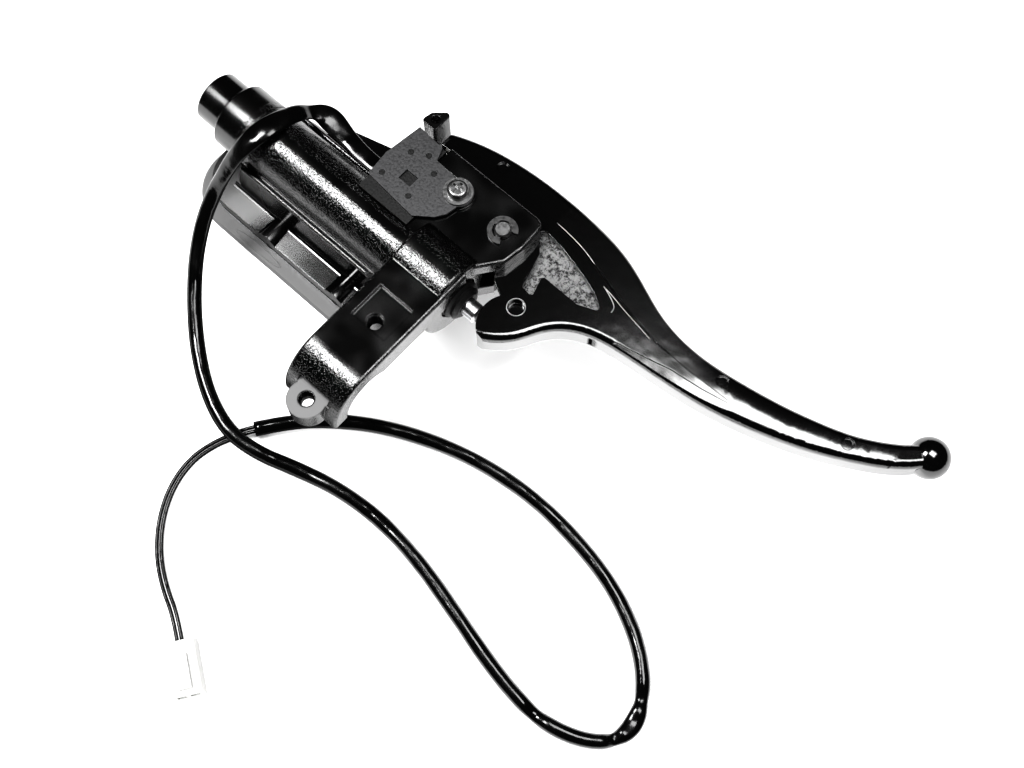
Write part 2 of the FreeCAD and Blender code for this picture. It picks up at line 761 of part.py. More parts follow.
def beside_ridge():
    """What is sunk each side of the long ridge that runs out along the blade and fades at both ends."""
    top = lever_mid_z + lever_thickness / 2
    start = ridge_front[0][0]
    end = ridge_front[-1][0]
    beyond = 2 * hub_r
    front = ridge_front + [(end, ridge_front[-1][1] + beyond), (start, ridge_front[0][1] + beyond)]
    rear = ridge_rear + [(end, ridge_rear[-1][1] - beyond), (ridge_rear[0][0], ridge_rear[0][1] - beyond)]
    reach = (end - start) / 2
    radius = (reach ** 2 + ridge_height ** 2) / (2 * ridge_height)
    middle = point(pivot_x + (start + end) / 2, pivot_y - 4 * hub_r, top - ridge_height + radius)
    hollow = Part.makeCylinder(radius, 10 * hub_r, middle, point(0, 1, 0))
    tools = []
    for outline in (front, rear):
        tools.append(prism([(pivot_x + x, pivot_y + y) for x, y in outline], top - 2, top + 1).common(hollow))
    return tools


def lever():
    """One-piece cast lever: tail, hub, cam nose, curved blade and ball end."""
    base = lever_mid_z - lever_thickness / 2
    top = lever_mid_z + lever_thickness / 2
    shape = Part.Face(lever_outline()).extrude(point(0, 0, lever_thickness))
    rims = []
    for edge in shape.Edges:
        flat = edge.BoundBox.ZLength < 0.01
        if flat and edge.Length > 10 * hub_r:
            rims.append(edge)
    shape = shape.makeFillet(lever_edge_r, rims)
    ball = Part.makeSphere(ball_r, point(pivot_x + ball_x, pivot_y + ball_y, lever_mid_z))
    shape = shape.cut(beside_ridge()).fuse(ball)
    cuts = [rod_z(bush_outer_r, pivot_x, pivot_y, base - 1, top + 1)]
    x, y = lever_drilling
    cuts.append(rod_z(drilling_r, pivot_x + x, pivot_y + y, top - drilling_depth, top + 1))
    for x, y in lever_dimples:
        cuts.append(rod_z(dimple_r, pivot_x + x, pivot_y + y, top - dimple_depth, top + 1))
    recess = [(pivot_x + x, pivot_y + y) for x, y in lever_recess]
    pocket = prism(recess, top - recess_depth, top + 1)
    cuts.append(round_uprights(pocket, recess_corner_r, recess))
    return shape.cut(cuts).removeSplitter()


def pivot_bush():
    length = lever_thickness / 2
    outer = rod_z(bush_outer_r, pivot_x, pivot_y, lever_mid_z - length, lever_mid_z + length)
    return outer.cut(rod_z(bush_inner_r, pivot_x, pivot_y, lever_mid_z - length - 1, lever_mid_z + length + 1))


def pivot_pin():
    """Headed pin, its head below the lower ear and a clip groove above the upper one."""
    end_z = ear_top_z + pin_end_length
    shape = rod_z(pin_r, pivot_x, pivot_y, ear_bottom_z, end_z)
    tip = [e for e in shape.Edges if e.BoundBox.ZMin > end_z - 0.01]
    shape = shape.makeChamfer(0.5, tip)
    shape = shape.fuse(rod_z(pin_head_r, pivot_x, pivot_y, ear_bottom_z - pin_head_h, ear_bottom_z))
    groove_z = ear_top_z
    groove = rod_z(pin_r + 1, pivot_x, pivot_y, groove_z, groove_z + clip_thickness + 0.1)
    groove = groove.cut(rod_z(clip_groove_r, pivot_x, pivot_y, groove_z - 1, groove_z + clip_thickness + 1))
    return shape.cut(groove)


def e_clip():
    """Flat clip with three inward fingers and an open mouth, sprung into the pin's groove."""
    bottom = ear_top_z
    top = bottom + clip_thickness
    shape = rod_z(clip_outer_r, pivot_x, pivot_y, bottom, top)
    shape = shape.cut(rod_z(clip_groove_r + 1.5, pivot_x, pivot_y, bottom - 1, top + 1))
    for angle in (45, 163, 281):
        reach = clip_outer_r - 0.8
        finger = block((clip_groove_r, -0.9, bottom), (reach, 0.9, top))
        finger.rotate(point(0, 0, 0), AXIS_Z, angle)
        finger.translate(point(pivot_x, pivot_y, 0))
        shape = shape.fuse(finger)
    reach = 2 * clip_outer_r
    mouth = prism([(0, 0), (reach, -reach * 0.9), (reach, reach * 0.9)], bottom - 1, top + 1)
    mouth.rotate(point(0, 0, 0), AXIS_Z, 343)
    mouth.translate(point(pivot_x, pivot_y, 0))
    shape = shape.cut(mouth)
    return shape.cut(rod_z(clip_finger_r, pivot_x, pivot_y, bottom - 1, top + 1)).removeSplitter()


def piston():
    """Turned piston: spring nose, front land, waist, grooved rear guide and the rod."""
    front = front_land_x
    rear = piston_shoulder_x - rear_guide_length
    groove = rear - secondary_groove_width
    nose = front - primary_cup_length - 2.5
    return turned_x([
        (nose, 0),
        (nose, piston_nose_r - 0.5),
        (nose + 0.5, piston_nose_r),
        (front, piston_nose_r),
        (front, piston_r),
        (front + land_width, piston_r),
        (front + land_width, piston_waist_r),
        (groove - land_width, piston_waist_r),
        (groove - land_width, piston_r),
        (groove, piston_r),
        (groove, secondary_groove_r),
        (rear, secondary_groove_r),
        (rear, piston_r),
        (piston_shoulder_x, piston_r),
        (piston_shoulder_x, piston_rod_r),
        (piston_end_x - 0.8, piston_rod_r),
        (piston_end_x, piston_rod_r - 0.8),
        (piston_end_x, 0),
    ])


def primary_cup():
    """Rubber cup on the piston's nose, its lip facing the pressure side."""
    back = front_land_x
    lip = back - primary_cup_length
    outer = bore_r - cup_clearance
    inner = piston_nose_r + 0.05
    return turned_x([
        (back, inner), (back, outer - 0.6), (lip + 1, outer), (lip, outer - 0.3), (lip + 2.4, outer - 1.5),
        (lip + 2.4, inner + 1.0), (lip + 1.2, inner),
    ])


def secondary_cup():
    """Rubber cup in the rear groove."""
    rear = piston_shoulder_x - rear_guide_length - 0.1
    front = rear - secondary_groove_width + 0.2
    outer = bore_r - cup_clearance
    inner = secondary_groove_r + 0.05
    return turned_x([
        (rear, inner), (rear, outer - 0.5), (front + 1, outer), (front, outer - 0.3), (front + 2.2, outer - 1.2),
        (front + 2.2, inner),
    ])


def return_spring():
    """Coil spring between the bore's end and the piston's front land cup."""
    start = bore_end_x + spring_wire_r + 0.1
    end = front_land_x - primary_cup_length - 2.5 - spring_wire_r - 0.1
    length = end - start
    helix = Part.makeHelix(length / spring_turns, length, spring_coil_r)
    helix.rotate(point(0, 0, 0), point(0, 1, 0), 90)
    helix.translate(point(start, barrel_y, barrel_z))
    path = Part.Wire(helix.Edges)
    first = path.Edges[0]
    begin = first.valueAt(first.FirstParameter)
    heading = first.tangentAt(first.FirstParameter)
    ring = Part.Wire(Part.Circle(begin, heading, spring_wire_r).toShape())
    return path.makePipeShell([ring], True, True)


def stop_washer():
    outer = rod_x(mouth_bore_r - 0.05, piston_shoulder_x, washer_end_x)
    return outer.cut(rod_x(piston_rod_r + 0.2, piston_shoulder_x - 1, washer_end_x + 1))


def circlip():
    """Internal ring in its groove, with a gap and two eyes for the pliers."""
    start = washer_end_x
    end = circlip_end_x
    shape = rod_x(mouth_bore_r + 0.6, start, end).cut(rod_x(mouth_bore_r - 1.5, start - 1, end + 1))
    gap = block((start - 1, barrel_y - 3, barrel_z), (end + 1, barrel_y + 3, barrel_z + mouth_bore_r + 2))
    shape = shape.cut(gap)
    for side in (-1, 1):
        eye_y = barrel_y + side * 4.3
        eye_z = barrel_z + mouth_bore_r - 3.0
        shape = shape.fuse(rod_x(1.5, start, end, eye_y, eye_z))
        shape = shape.cut(rod_x(0.6, start - 1, end + 1, eye_y, eye_z))
    return shape.removeSplitter()


def dust_boot():
    """Rubber bellows: its foot sits in the barrel's mouth, and its lip grips the rod."""
    foot = circlip_end_x + 0.1
    lip = foot + boot_length
    foot_r = mouth_bore_r - 0.1
    lip_r = piston_rod_r + 0.05
    outer = [
        (foot, foot_r), (foot + 3.2, foot_r), (foot + 4.2, foot_r - 1.1), (foot + 5.4, foot_r - 0.5),
        (foot + 6.4, foot_r - 2.0), (foot + 7.5, foot_r - 1.6), (lip, lip_r + 1.6), (lip, lip_r),
    ]
    inner = [
        (lip - 1.1, lip_r), (lip - 1.8, foot_r - 2.9), (foot + 6.2, foot_r - 3.2), (foot + 5.3, foot_r - 1.8),
        (foot + 4.0, foot_r - 2.4), (foot + 2.8, foot_r - 1.3), (foot, foot_r - 1.3),
    ]
    return turned_x(outer + inner)


def switch_housing():
    """Moulded box: a flange that lies on the barrel and a deep part down to the lower ear."""
    outline = [
        (switch_left_x, switch_deep_y),
        (switch_right_x, switch_deep_y),
        (switch_right_x, switch_step_y),
        (switch_step_x, switch_step_y),
        (switch_step_x, switch_far_y),
        (switch_left_x, switch_far_y),
    ]
    shape = prism(outline, slot_bottom_z, switch_top_z)
    flange = block((switch_left_x, switch_near_y, switch_seat_z), (switch_right_x, switch_deep_y, switch_top_z))
    shape = shape.fuse(flange)
    shape = shape.fuse(rod_x(gland_r, switch_left_x - gland_length, switch_left_x, gland_y, gland_z))
    for x, y in plate_pegs:
        shape = shape.fuse(rod_z(plate_peg_r, x, y, switch_top_z, switch_top_z + plate_thickness))
    bore = Part.makeCylinder(
        plunger_r + pin_clearance, plunger_depth, point(plunger_x, switch_far_y - plunger_depth, plunger_z), point(0, 1, 0)
    )
    return shape.cut(bore).removeSplitter()


def switch_plate():
    """Stamped cover plate with a round lug for its screw, peg holes and a window."""
    top = switch_top_z + plate_thickness
    shape = prism(plate_outline, switch_top_z, top)
    shape = shape.fuse(rod_z(plate_lug_r, screw_x, screw_y, switch_top_z, top)).removeSplitter()
    cuts = [rod_z(screw_d / 2 + 0.2, screw_x, screw_y, switch_top_z - 1, top + 1)]
    cuts.append(block((*plate_window[0], switch_top_z - 1), (*plate_window[1], top + 1)))
    for x, y in plate_pegs:
        cuts.append(rod_z(plate_peg_r + 0.1, x, y, switch_top_z - 1, top + 1))
    return shape.cut(cuts)


def switch_washer():
    bottom = switch_top_z + plate_thickness
    top = bottom + 0.9
    ring = rod_z(screw_washer_r, screw_x, screw_y, bottom, top)
    return ring.cut(rod_z(screw_d / 2 + 0.2, screw_x, screw_y, bottom - 1, top + 1))


def switch_screw():
    """Pan head screw with a cross recess."""
    seat = switch_top_z + plate_thickness + 0.9
    head = rod_z(screw_head_r, screw_x, screw_y, seat, seat + screw_head_h)
    rim = [e for e in head.Edges if e.BoundBox.ZMin > seat + screw_head_h - 0.01]
    head = head.makeFillet(1.4, rim)
    shank = rod_z(screw_d / 2, screw_x, screw_y, slot_top_z + 0.6, seat)
    top = seat + screw_head_h
    slot = block((screw_x - 2.2, screw_y - 0.5, top - 1.4), (screw_x + 2.2, screw_y + 0.5, top + 1))
    cross = block((screw_x - 0.5, screw_y - 2.2, top - 1.4), (screw_x + 0.5, screw_y + 2.2, top + 1))
    return head.fuse(shank).cut([slot, cross]).removeSplitter()


def switch_plunger():
    """Round plunger that the lever's tail holds in at rest."""
    tail_face = pivot_y + tail_inner_y
    start = switch_far_y - plunger_depth + 3
    shape = Part.makeCylinder(plunger_r, tail_face - rod_gap - start, point(plunger_x, start, plunger_z), point(0, 1, 0))
    tip = [e for e in shape.Edges if e.CenterOfMass.y > tail_face - rod_gap - 0.01]
    return shape.makeFillet(0.8, tip)


def placed_on_connector(shape):
    """Move a shape made at the origin, with +X out of the mating face, to the connector's place."""
    shape.rotate(point(0, 0, 0), AXIS_Z, connector_angle)
    end = wire_route[-1]
    shape.translate(point(end[0], end[1], lid_outer_z))
    return shape


def connector_housing():
    """Two-way housing lying on its side, with two square cavities and a latch ridge."""
    half = connector_width / 2
    shape = block((0, -half, 0), (connector_length, half, connector_height))
    long_edges = [e for e in shape.Edges if e.BoundBox.XLength > connector_length - 0.1]
    shape = shape.makeFillet(0.8, long_edges)
    shape = shape.fuse(block((5, -2.2, connector_height - 0.1), (connector_length - 2, 2.2, connector_height + 1.1)))
    middle = wire_route[-1][2] - lid_outer_z
    cuts = []
    for side in (-1, 1):
        y = side * connector_pitch / 2
        low = (connector_length - connector_cavity_depth, y - connector_cavity / 2, middle - connector_cavity / 2)
        high = (connector_length + 1, y + connector_cavity / 2, middle + connector_cavity / 2)
        cuts.append(block(low, high))
    return placed_on_connector(shape.cut(cuts).removeSplitter())


def connector_terminals():
    """Two crimped sleeves, one in each cavity."""
    middle = wire_route[-1][2] - lid_outer_z
    start = connector_length - connector_cavity_depth
    sleeves = []
    for side in (-1, 1):
        y = side * connector_pitch / 2
        half = connector_cavity / 2 - 0.3
        sleeve = block((start, y - half, middle - half), (connector_length - 2, y + half, middle + half))
        hole = block((start + 2, y - half + 0.4, middle - half + 0.4), (connector_length, y + half - 0.4, middle + half - 0.4))
        sleeves.append(placed_on_connector(sleeve.cut(hole)))
    return Part.makeCompound(sleeves)


def wire(side):
    return tube(beside(wire_route, side * (wire_r + wire_gap / 2)), wire_r)


parts = {
    "body_casting": body_casting,
    "reservoir_lid": reservoir_lid,
    "lid_screws": lid_screws,
    "diaphragm": diaphragm,
    "diaphragm_plate": diaphragm_plate,
    "lever": lever,
    "pivot_bush": pivot_bush,
    "pivot_pin": pivot_pin,
    "e_clip": e_clip,
    "piston": piston,
    "primary_cup": primary_cup,
    "secondary_cup": secondary_cup,
    "return_spring": return_spring,
    "stop_washer": stop_washer,
    "circlip": circlip,
    "dust_boot": dust_boot,
    "switch_housing": switch_housing,
    "switch_plate": switch_plate,
    "switch_washer": switch_washer,
    "switch_screw": switch_screw,
    "switch_plunger": switch_plunger,
    "cord_sleeve": lambda: tube(sleeve_route, sleeve_r),
    "cord_wire_left": lambda: wire(-1),
    "cord_wire_right": lambda: wire(1),
    "connector_housing": connector_housing,
    "connector_terminals": connector_terminals,
}

os.makedirs("parts", exist_ok=True)
for name, make in parts.items():
    shape = make()
    print(name, "solids", len(shape.Solids), "volume", round(shape.Volume, 1), "valid", shape.isValid())
    shape.exportStep("parts/" + name + ".step")
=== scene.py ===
"""Handlebar brake master cylinder with its lever, lying upside down on the reservoir's lid."""

import bpy
import bmesh
import math
from mathutils import Matrix, Vector
from mathutils.bvhtree import BVHTree


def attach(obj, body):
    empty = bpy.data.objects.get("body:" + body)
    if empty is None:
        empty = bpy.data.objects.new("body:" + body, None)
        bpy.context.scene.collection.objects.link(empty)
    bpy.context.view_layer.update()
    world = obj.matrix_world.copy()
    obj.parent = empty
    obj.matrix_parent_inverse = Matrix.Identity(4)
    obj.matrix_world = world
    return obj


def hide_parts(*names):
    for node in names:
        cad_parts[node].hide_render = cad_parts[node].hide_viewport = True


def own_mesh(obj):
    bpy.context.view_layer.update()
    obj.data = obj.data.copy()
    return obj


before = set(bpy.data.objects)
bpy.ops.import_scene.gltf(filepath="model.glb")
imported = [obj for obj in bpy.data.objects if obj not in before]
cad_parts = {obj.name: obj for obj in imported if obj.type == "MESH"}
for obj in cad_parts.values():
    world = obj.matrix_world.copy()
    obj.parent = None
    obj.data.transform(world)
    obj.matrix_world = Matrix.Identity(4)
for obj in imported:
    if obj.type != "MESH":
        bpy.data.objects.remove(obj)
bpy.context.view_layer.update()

# Camera
# It looks down at the assembly from above the reservoir side, 20 degrees off the vertical.

camera = bpy.data.objects.new("camera", bpy.data.cameras.new("camera"))
bpy.context.scene.collection.objects.link(camera)
camera.location = (0.1577, -0.0888, 0.4600)
camera.rotation_euler = (math.radians(20), 0, math.radians(42))
camera.data.lens = 50
camera.data.sensor_width = 36
camera.data.clip_start = 0.01
bpy.context.scene.camera = camera

# Switch cord's sleeve
# Soft black vinyl tubing over the switch's two wires. It is laid by hand in one open loop, goes
# slightly flat where it bends, and has creased where it was once folded.

sleeve_route = [
    (-43.0, 63.2, 7.2),
    (-50.0, 63.2, 7.2),
    (-57.6, 64.0, 7.6),
    (-64.8, 65.0, 8.4),
    (-71.0, 65.3, 10.0),
    (-75.0, 62.4, 13.0),
    (-76.9, 56.6, 16.6),
    (-78.0, 49.4, 19.4),
    (-79.2, 42.0, 19.9),
    (-81.2, 34.2, 17.2),
    (-83.6, 26.0, 9.0),
    (-85.5, 19.0, -2.0),
    (-84.6, 9.7, -12.0),
    (-78.7, -1.8, -20.0),
    (-67.8, -14.5, -26.0),
    (-55.0, -25.5, -29.0),
    (-40.4, -34.3, -30.3),
    (-25.7, -38.7, -30.8),
    (-12.4, -36.9, -32.3),
    (0.6, -32.0, -33.3),
    (17.0, -27.1, -33.3),
    (37.0, -24.9, -33.3),
    (58.4, -27.0, -33.3),
    (79.2, -31.7, -33.3),
    (99.4, -36.6, -33.3),
    (116.0, -39.2, -33.3),
    (127.6, -39.2, -33.3),
    (138.9, -35.8, -33.3),
    (147.6, -30.2, -33.3),
    (151.2, -21.9, -33.3),
    (148.6, -12.3, -33.3),
    (141.2, -2.9, -33.3),
    (128.2, 6.3, -33.3),
    (111.7, 12.8, -33.3),
    (91.6, 16.5, -33.3),
    (70.7, 17.5, -33.3),
    (49.1, 14.6, -33.3),
    (29.9, 8.6, -33.3),
    (12.7, 0.3, -33.3),
    (-2.5, -10.3, -33.3),
    (-13.6, -21.5, -33.3),
    (-20.4, -31.1, -33.3),
]


def laid_line(name, route):
    """A smooth line that is drawn towards the route's points, in metres."""
    curve = bpy.data.curves.new(name, "CURVE")
    curve.dimensions = "3D"
    curve.resolution_u = 12
    spline = curve.splines.new("NURBS")
    spline.points.add(len(route) - 1)
    for point, place in zip(spline.points, route):
        point.co = [value / 1000 for value in place] + [1.0]
    spline.order_u = 3
    spline.use_endpoint_u = True
    return bpy.data.objects.new(name, curve)


def line_places(line):
    """The places along a laid line, in order."""
    bpy.context.scene.collection.objects.link(line)
    bpy.context.view_layer.update()
    mesh = bpy.data.meshes.new_from_object(line)
    places = [vertex.co.copy() for vertex in mesh.vertices]
    bpy.data.objects.remove(line)
    bpy.data.meshes.remove(mesh)
    return places


sleeve_places = line_places(laid_line("sleeve line", sleeve_route))


def along(places):
    """The distance from the start at each place."""
    total = 0.0
    distances = [0.0]
    for a, b in zip(places, places[1:]):
        total += (b - a).length
        distances.append(total)
    return distances


def tube_mesh(name, places, oval, sides=24):
    """A closed tube along places; oval(distance) gives its half width, half height and drop there."""
    mesh = bpy.data.meshes.new(name)
    work = bmesh.new()
    rings = []
    distances = along(places)
    for index, place in enumerate(places):
        before = places[max(index - 1, 0)]
        after = places[min(index + 1, len(places) - 1)]
        heading = (after - before).normalized()
        side = Vector((0, 0, 1)).cross(heading).normalized()
        top = heading.cross(side)
        half_width, half_height, drop = oval(distances[index])
        ring = []
        for step in range(sides):
            angle = 2 * math.pi * step / sides
            reach = side * (math.cos(angle) * half_width) + top * (math.sin(angle) * half_height - drop)
            ring.append(work.verts.new(place + reach))
        rings.append(ring)
    for first, second in zip(rings, rings[1:]):
        for step in range(sides):
            after = (step + 1) % sides
            work.faces.new((first[step], first[after], second[after], second[step]))
    work.faces.new(rings[0][::-1])
    work.faces.new(rings[-1])
    bmesh.ops.recalc_face_normals(work, faces=work.faces)
    work.to_mesh(mesh)
    work.free()
    mesh.shade_smooth()
    piece = bpy.data.objects.new(name, mesh)
    bpy.context.scene.collection.objects.link(piece)
    return piece


# Where the tubing has creased: distance from its start, how wide the crease is, how deep it goes
sleeve_folds = [(0.0335, 0.0030, 0.70), (0.337, 0.0035, 0.45), (0.366, 0.0024, 0.72), (0.383, 0.0030, 0.55)]
# Where it is pressed wider: distance from its start, how far that reaches, the extra half width
sleeve_swellings = [(0.026, 0.0060, 0.0011), (0.056, 0.0120, 0.0008)]
sleeve_half_width = 0.0027
flat_at_start = 0.52
flat_until = 0.115
flat_fade = 0.04


def hump(distance, place, reach):
    """1 at the place, falling away smoothly on both sides."""
    return math.exp(-(((distance - place) / reach) ** 2))


def sleeve_oval(distance):
    """The tubing's half width, half height and drop: oval over the barrel, pinched at its folds."""
    flat = flat_at_start * min(1.0, max(0.0, (flat_until - distance) / flat_fade))
    flat += 0.05 * math.sin(distance * 95) ** 2
    flat = max(flat, 0.40 * hump(distance, 0.3745, 0.0060))
    fold = 0.0
    for place, reach, depth in sleeve_folds:
        fold = max(fold, depth * hump(distance, place, reach))
    half_height = sleeve_half_width * (1 - flat) * (1 - 0.7 * fold)
    half_width = sleeve_half_width * (1 + 0.55 * flat) * (1 - 0.28 * fold)
    for place, reach, extra in sleeve_swellings:
        half_width += extra * hump(distance, place, reach)
    return half_width, half_height, (sleeve_half_width - half_height) * 0.8


sleeve = tube_mesh("sleeve_tubing", sleeve_places, sleeve_oval)
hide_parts("cord_sleeve")
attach(sleeve, "body")


def finish(name, color, roughness, metallic=0.0, ior=1.5):
    """A material with one shader, and the parts of its node tree."""
    material = bpy.data.materials.new(name)
    material.use_nodes = True
    shader = material.node_tree.nodes["Principled BSDF"]
    shader.inputs["Base Color"].default_value = (*color, 1)
    shader.inputs["Roughness"].default_value = roughness
    shader.inputs["Metallic"].default_value = metallic
    shader.inputs["IOR"].default_value = ior
    return material, material.node_tree.nodes, material.node_tree.links, shader


def grain(nodes, links, size, stretch=(1, 1, 1), detail=3.0):
    """Noise in the object's own space; size is about one grain in metres."""
    place = nodes.new("ShaderNodeTexCoord")
    mapping = nodes.new("ShaderNodeMapping")
    mapping.inputs["Scale"].default_value = stretch
    noise = nodes.new("ShaderNodeTexNoise")
    noise.inputs["Scale"].default_value = 1 / size
    noise.inputs["Detail"].default_value = detail
    links.new(place.outputs["Object"], mapping.inputs["Vector"])
    links.new(mapping.outputs["Vector"], noise.inputs["Vector"])
    return noise


def raised(nodes, links, height, depth, shader, under=None):
    """A bump from a height output, laid over an earlier bump where one is given."""
    bump = nodes.new("ShaderNodeBump")
    bump.inputs["Strength"].default_value = 1.0
    bump.inputs["Distance"].default_value = depth
    links.new(height, bump.inputs["Height"])
    if under:
        links.new(under.outputs["Normal"], bump.inputs["Normal"])
    links.new(bump.outputs["Normal"], shader.inputs["Normal"])
    return bump


def ramp(nodes, links, value, start, end, low, high):
    """A value between start and end, given out as low to high."""
    change = nodes.new("ShaderNodeMapRange")
    change.inputs["From Min"].default_value = start
    change.inputs["From Max"].default_value = end
    change.inputs["To Min"].default_value = low
    change.inputs["To Max"].default_value = high
    links.new(value, change.inputs["Value"])
    return change.outputs["Result"]


def spread(nodes, links, value, socket, low, high, start=0.35, end=0.65):
    """Carry a value between start and end to a socket as low to high."""
    links.new(ramp(nodes, links, value, start, end, low, high), socket)


vinyl, nodes, links, shader = finish("sleeve_vinyl", (0.002, 0.002, 0.002), 0.16, ior=1.55)
soft_waves = grain(nodes, links, 0.009, detail=1.0)
fine_waves = grain(nodes, links, 0.0022, detail=2.0)
raised(nodes, links, fine_waves.outputs["Fac"], 0.00005, shader,
       raised(nodes, links, soft_waves.outputs["Fac"], 0.0006, shader))
spread(nodes, links, soft_waves.outputs["Fac"], shader.inputs["Roughness"], 0.10, 0.24)
sleeve.data.materials.append(vinyl)

# Cord's two wires
# Two thin insulated wires come out of the sleeve's end side by side and run under it, across the
# floor, to the connector.

wire_route = [
    (-20.4, -31.1, -33.3),
    (-22.2, -33.64, -33.3),
    (-24.8, -37.5, -35.3),
    (-28.2, -45.2, -35.3),
    (-30.0, -54.8, -35.3),
    (-28.0, -66.2, -35.3),
    (-21.9, -77.5, -35.3),
    (-12.8, -87.0, -35.0),
    (-2.4, -93.4, -33.8),
    (8.0, -97.6, -32.5),
    (16.0, -103.0, -32.5),
]


def beside(route, offset):
    """The route moved sideways by offset, level with the floor."""
    moved = []
    for index, (x, y, z) in enumerate(route):
        before = route[max(index - 1, 0)]
        after = route[min(index + 1, len(route) - 1)]
        along_x = after[0] - before[0]
        along_y = after[1] - before[1]
        length = math.hypot(along_x, along_y)
        moved.append((x - along_y / length * offset, y + along_x / length * offset, z))
    return moved


insulation, nodes, links, shader = finish("wire_insulation", (0.003, 0.003, 0.003), 0.28)
wire_waves = grain(nodes, links, 0.004, detail=1.0)
raised(nodes, links, wire_waves.outputs["Fac"], 0.0003, shader)
spread(nodes, links, wire_waves.outputs["Fac"], shader.inputs["Roughness"], 0.22, 0.36)

for name, node, offset in (("wire_left", "cord_wire_left", -0.85), ("wire_right", "cord_wire_right", 0.85)):
    places = line_places(laid_line(name + " line", beside(wire_route, offset)))
    wire = tube_mesh(name, places, lambda distance: (0.0007, 0.0007, 0), sides=12)
    wire.data.materials.append(insulation)
    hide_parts(node)
    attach(wire, "body")

# Connector
# A white moulded nylon housing for two terminals, which are crimped from thin tinned brass strip.


def dressed(node_name, material):
    """Give a solid of the frame its finish."""
    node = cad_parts[node_name]
    node.data.materials.clear()
    node.data.materials.append(material)


nylon, nodes, links, shader = finish("connector_nylon", (0.50, 0.50, 0.49), 0.42)
nylon_sheen = grain(nodes, links, 0.0012)
raised(nodes, links, nylon_sheen.outputs["Fac"], 0.00002, shader)
spread(nodes, links, nylon_sheen.outputs["Fac"], shader.inputs["Roughness"], 0.36, 0.5)
dressed("connector_housing", nylon)

tinned, nodes, links, shader = finish("terminal_tin", (0.62, 0.58, 0.50), 0.3, metallic=1.0)
tin_marks = grain(nodes, links, 0.0006, stretch=(1, 4, 1))
raised(nodes, links, tin_marks.outputs["Fac"], 0.00002, shader)
spread(nodes, links, tin_marks.outputs["Fac"], shader.inputs["Roughness"], 0.25, 0.42)
dressed("connector_terminals", tinned)

# Body casting
# One aluminium die casting: barrel, reservoir walls, clamp half and lever fork. It has thick gloss
# black paint, which follows the rough skin of the casting and leaves it pebbled.


def rounded_edges(nodes, reach):
    """Paint pulls back a little at every corner, so corners shade as if rounded."""
    corner = nodes.new("ShaderNodeBevel")
    corner.samples = 4
    corner.inputs["Radius"].default_value = reach
    return corner


def within(nodes, links, low, high):
    """1 inside a box given by two corners in millimetres in the part's frame, 0 outside."""
    place = nodes.new("ShaderNodeTexCoord")
    apart = nodes.new("ShaderNodeSeparateXYZ")
    links.new(place.outputs["Object"], apart.inputs["Vector"])
    inside = None
    for axis, start, end in zip("XYZ", low, high):
        middle = (start + end) / 2000
        step = nodes.new("ShaderNodeMath")
        step.operation = "COMPARE"
        step.inputs[1].default_value = middle
        step.inputs[2].default_value = end / 1000 - middle
        links.new(apart.outputs[axis], step.inputs[0])
        if inside is None:
            inside = step.outputs["Value"]
            continue
        both = nodes.new("ShaderNodeMath")
        both.operation = "MULTIPLY"
        links.new(inside, both.inputs[0])
        links.new(step.outputs["Value"], both.inputs[1])
        inside = both.outputs["Value"]
    return inside


def mixed(nodes, links, share, first, second):
    """First where share is 0 and second where it is 1; either may be a number or an output."""
    change = nodes.new("ShaderNodeMix")
    links.new(share, change.inputs["Factor"])
    for socket, value in ((change.inputs["A"], first), (change.inputs["B"], second)):
        if isinstance(value, (int, float)):
            socket.default_value = value
        else:
            links.new(value, socket)
    return change.outputs["Result"]


def two_tone(nodes, links, share, first, second, shader):
    """The shader's colour is first where share is 0 and second where it is 1."""
    change = nodes.new("ShaderNodeMix")
    change.data_type = "RGBA"
    change.inputs["A"].default_value = (*first, 1)
    change.inputs["B"].default_value = (*second, 1)
    links.new(share, change.inputs["Factor"])
    links.new(change.outputs["Result"], shader.inputs["Base Color"])


def combined(nodes, links, operation, first, second):
    """Two values joined by one sum; second may be a number or an output."""
    step = nodes.new("ShaderNodeMath")
    step.operation = operation
    links.new(first, step.inputs[0])
    if isinstance(second, (int, float)):
        step.inputs[1].default_value = second
    else:
        links.new(second, step.inputs[1])
    return step.outputs["Value"]


def facing_up(nodes, links):
    """1 where a face looks straight up, 0 where it is upright."""
    facing = nodes.new("ShaderNodeNewGeometry")
    upward = nodes.new("ShaderNodeSeparateXYZ")
    links.new(facing.outputs["True Normal"], upward.inputs["Vector"])
    return upward.outputs["Z"]


def creases(nodes, links, size, groove):
    """Thin winding furrows in an even skin: 1 in the skin, down to 0 in the middle of a furrow."""
    noise = grain(nodes, links, size, detail=2.0)
    away = combined(nodes, links, "SUBTRACT", noise.outputs["Fac"], 0.5)
    distance = nodes.new("ShaderNodeMath")
    distance.operation = "ABSOLUTE"
    links.new(away, distance.inputs[0])
    return ramp(nodes, links, distance.outputs["Value"], 0.0, groove, 0.0, 1.0)


gloss_black = (0.002, 0.002, 0.002)
casting_paint, nodes, links, shader = finish("casting_paint", gloss_black, 0.14, ior=1.8)
cast_swell = grain(nodes, links, 0.012, detail=1.0)
cast_skin = grain(nodes, links, 0.0008, detail=3.0)
furrows = creases(nodes, links, 0.0012, 0.045)
